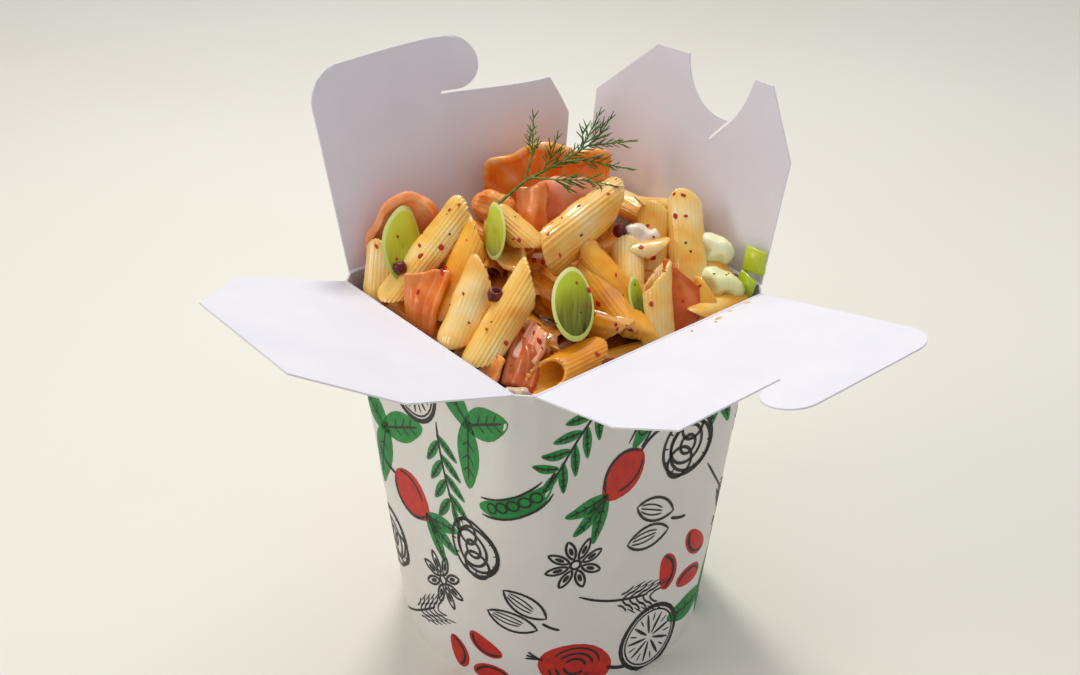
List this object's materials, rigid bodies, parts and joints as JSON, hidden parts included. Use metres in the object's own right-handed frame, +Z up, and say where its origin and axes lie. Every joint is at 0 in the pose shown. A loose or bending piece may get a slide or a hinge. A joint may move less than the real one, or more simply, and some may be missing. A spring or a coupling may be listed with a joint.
{
  "type": "noodle takeaway box",
  "caption": "Paperboard noodle box with a round base and a rectangular mouth, its hinged flaps open, heaped with penne, smoked salmon, leek and dill.",
  "frame": {"origin": "centre of the underside of the round base, on the surface the box stands on", "axes": "+Z up out of the mouth, -Y towards the plain flap that lies open at the front, +X towards the hooked flap that lies open"},
  "size_m": [0.1637, 0.1624, 0.1809],
  "materials": {
    "paperboard": "satin white coated board",
    "penne": "cooked pasta, wet with cream sauce",
    "salmon": "smoked salmon, moist",
    "leek_green": "cooked leek, moist",
    "leek_white": "cooked white of leek, glossy"
  },
  "bodies": {
    "box": {"box_body": "paperboard", "pasta_heap": "penne", "salmon_back_hood": "salmon", "salmon_back_fold": "salmon", "salmon_back_small": "salmon", "salmon_left": "salmon", "salmon_strip": "salmon", "salmon_front": "salmon", "salmon_front_bit": "salmon", "salmon_wedge": "salmon", "leek_left": "leek_green", "leek_middle": "leek_green", "leek_sliver_back": "leek_green", "leek_sliver_right": "leek_green", "leek_green_upper": "leek_green", "leek_green_lower": "leek_green", "leek_pale_upper": "leek_white", "leek_pale_lower": "leek_white", "leek_white_back": "leek_white", "leek_white_front": "leek_white"},
    "front_flap": {"flap_front": "paperboard"},
    "right_flap": {"flap_right": "paperboard"},
    "back_flap": {"flap_back": "paperboard"},
    "left_flap": {"flap_left": "paperboard"}
  },
  "joints": [
    {"name": "front_crease", "type": "hinge", "parent": "box", "child": "front_flap", "pos_m": [0, -0.0485, 0.119], "axis": [1, 0, 0], "range_deg": [-66, 100]},
    {"name": "right_crease", "type": "hinge", "parent": "box", "child": "right_flap", "pos_m": [0.0455, 0, 0.119], "axis": [0, 1, 0], "range_deg": [-74, 92]},
    {"name": "back_crease", "type": "hinge", "parent": "box", "child": "back_flap", "pos_m": [0, 0.0485, 0.119], "axis": [-1, 0, 0], "range_deg": [-5, 160]},
    {"name": "left_crease", "type": "hinge", "parent": "box", "child": "left_flap", "pos_m": [-0.0455, 0, 0.119], "axis": [0, -1, 0], "range_deg": [-5, 160]}
  ]
}
